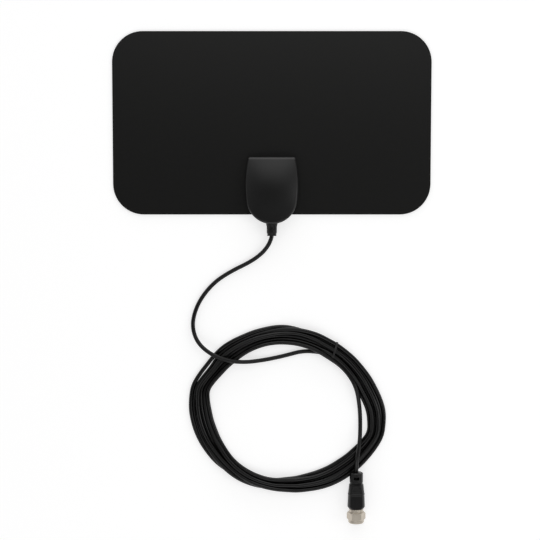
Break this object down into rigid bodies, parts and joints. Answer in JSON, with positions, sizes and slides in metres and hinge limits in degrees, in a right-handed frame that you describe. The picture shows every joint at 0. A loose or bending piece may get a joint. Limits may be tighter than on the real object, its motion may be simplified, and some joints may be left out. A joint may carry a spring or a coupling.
{
  "type": "flat indoor tv antenna",
  "caption": "Thin rectangular indoor TV antenna panel with rounded corners, a moulded pod on its lower edge and a coiled thin coaxial lead ending in a screw-on plug.",
  "frame": {"origin": "middle of the panel's back face", "axes": "+X along the panel's long side, +Y away from the pod and the cable, +Z out of the panel's front"},
  "size_m": [0.213, 0.3317, 0.0112],
  "materials": {
    "panel_plastic": "fine matte grain, black",
    "pod_plastic": "moulded satin black",
    "relief_rubber": "moulded soft black",
    "cable_jacket": "extruded satin black jacket",
    "tie_plastic": "dull dark grey",
    "boot_plastic": "moulded satin black",
    "nickel_plate": "nickel plated, turned",
    "contact_brass": "bright brass",
    "screw_steel": "dark zinc plated",
    "foil": "rolled foil",
    "board_laminate": "green solder mask",
    "ferrite": "sintered dark grey",
    "copper_wire": "enamelled copper",
    "insulator_plastic": "white moulded"
  },
  "bodies": {
    "antenna": {"front_sheet": "panel_plastic", "rear_sheet": "panel_plastic", "left_element": "foil", "right_element": "foil", "pod_front": "pod_plastic", "pod_rear": "pod_plastic", "pod_screws": "screw_steel", "balun_board": "board_laminate", "balun_core": "ferrite", "balun_winding": "copper_wire", "feed_contacts": "contact_brass", "strain_relief": "relief_rubber", "cable_root": "cable_jacket", "cable_lead": "cable_jacket", "cable_coil": "cable_jacket", "coil_tie": "tie_plastic", "cable_tail": "cable_jacket", "plug_boot": "boot_plastic", "plug_sleeve": "nickel_plate", "plug_insulator": "insulator_plastic", "plug_pin": "contact_brass"},
    "coupling_nut": {"plug_nut": "nickel_plate"}
  },
  "joints": [
    {"name": "nut_spin", "type": "hinge", "parent": "antenna", "child": "coupling_nut", "pos_m": [0.05745, -0.2658, 0.00565], "axis": [0, 1, 0], "continuous": true}
  ]
}
